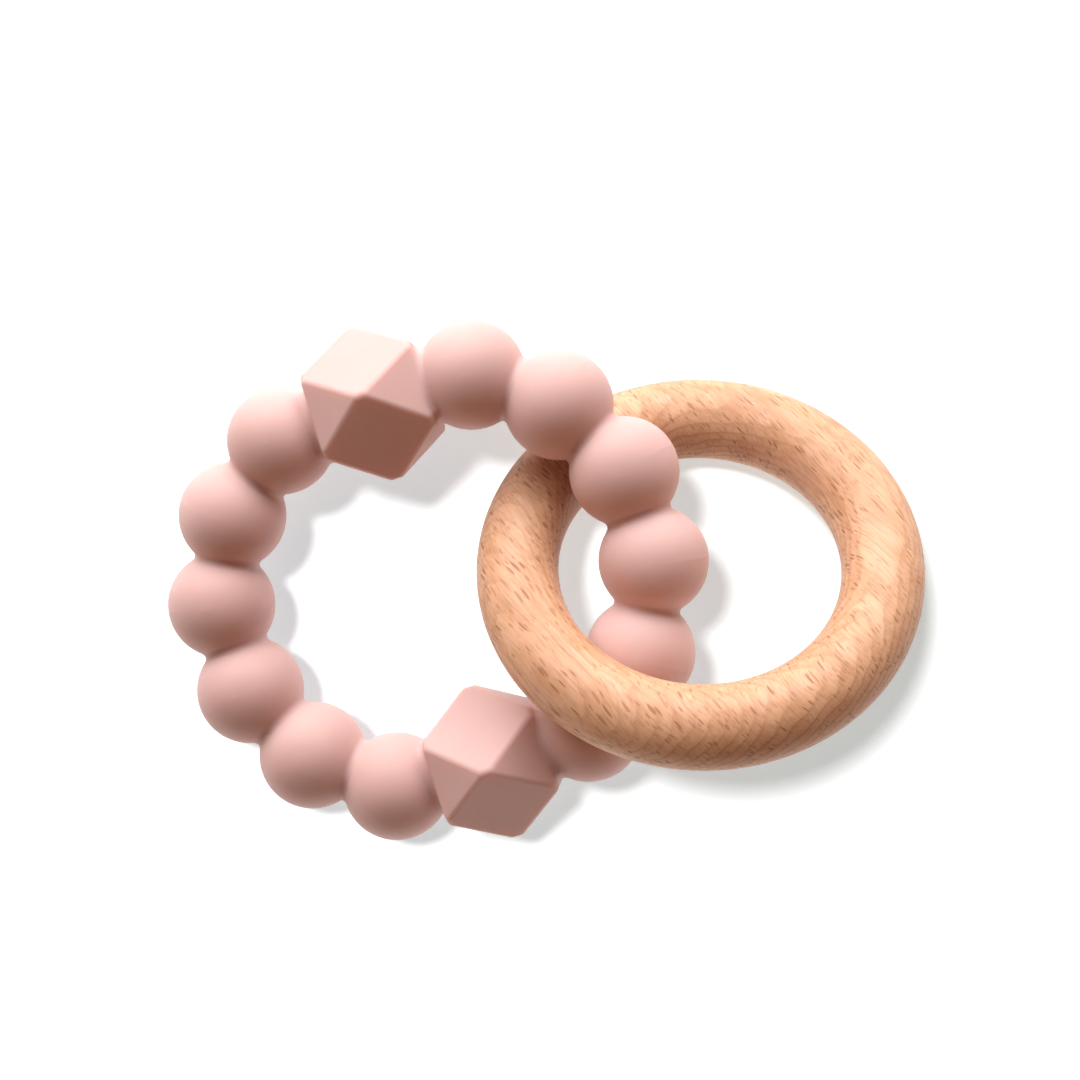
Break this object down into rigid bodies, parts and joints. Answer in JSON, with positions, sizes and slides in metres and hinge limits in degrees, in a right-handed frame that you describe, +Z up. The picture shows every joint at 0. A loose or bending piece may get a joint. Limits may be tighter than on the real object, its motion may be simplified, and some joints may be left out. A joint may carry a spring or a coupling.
{
  "type": "teething ring",
  "caption": "Baby teether: a soft moulded ring of round and faceted lobes, linked with a turned beech ring that swings up through it.",
  "frame": {"origin": "middle of the underside of the bounding box, on the surface that the linked rings lie on", "axes": "+X from the middle of the moulded ring towards the middle of the beech ring, +Z up"},
  "size_m": [0.1046, 0.0716, 0.0353],
  "materials": {
    "silicone": "matte blush-pink silicone, very smooth",
    "pin_plastic": "matte off-white nylon, hidden",
    "beech": "sanded and oiled beech, satin, with short dark ray flecks"
  },
  "bodies": {
    "moulded_ring": {"silicone_bead_ring": "silicone", "closure_pin": "pin_plastic"},
    "beech_ring": {"wooden_ring": "beech"}
  },
  "joints": [
    {"name": "beech_ring_swing", "type": "hinge", "parent": "moulded_ring", "child": "beech_ring", "pos_m": [0.02194, 0.02427, 0.0099], "axis": [-0.7837, -0.6211, 0], "range_deg": [0, 90]}
  ]
}
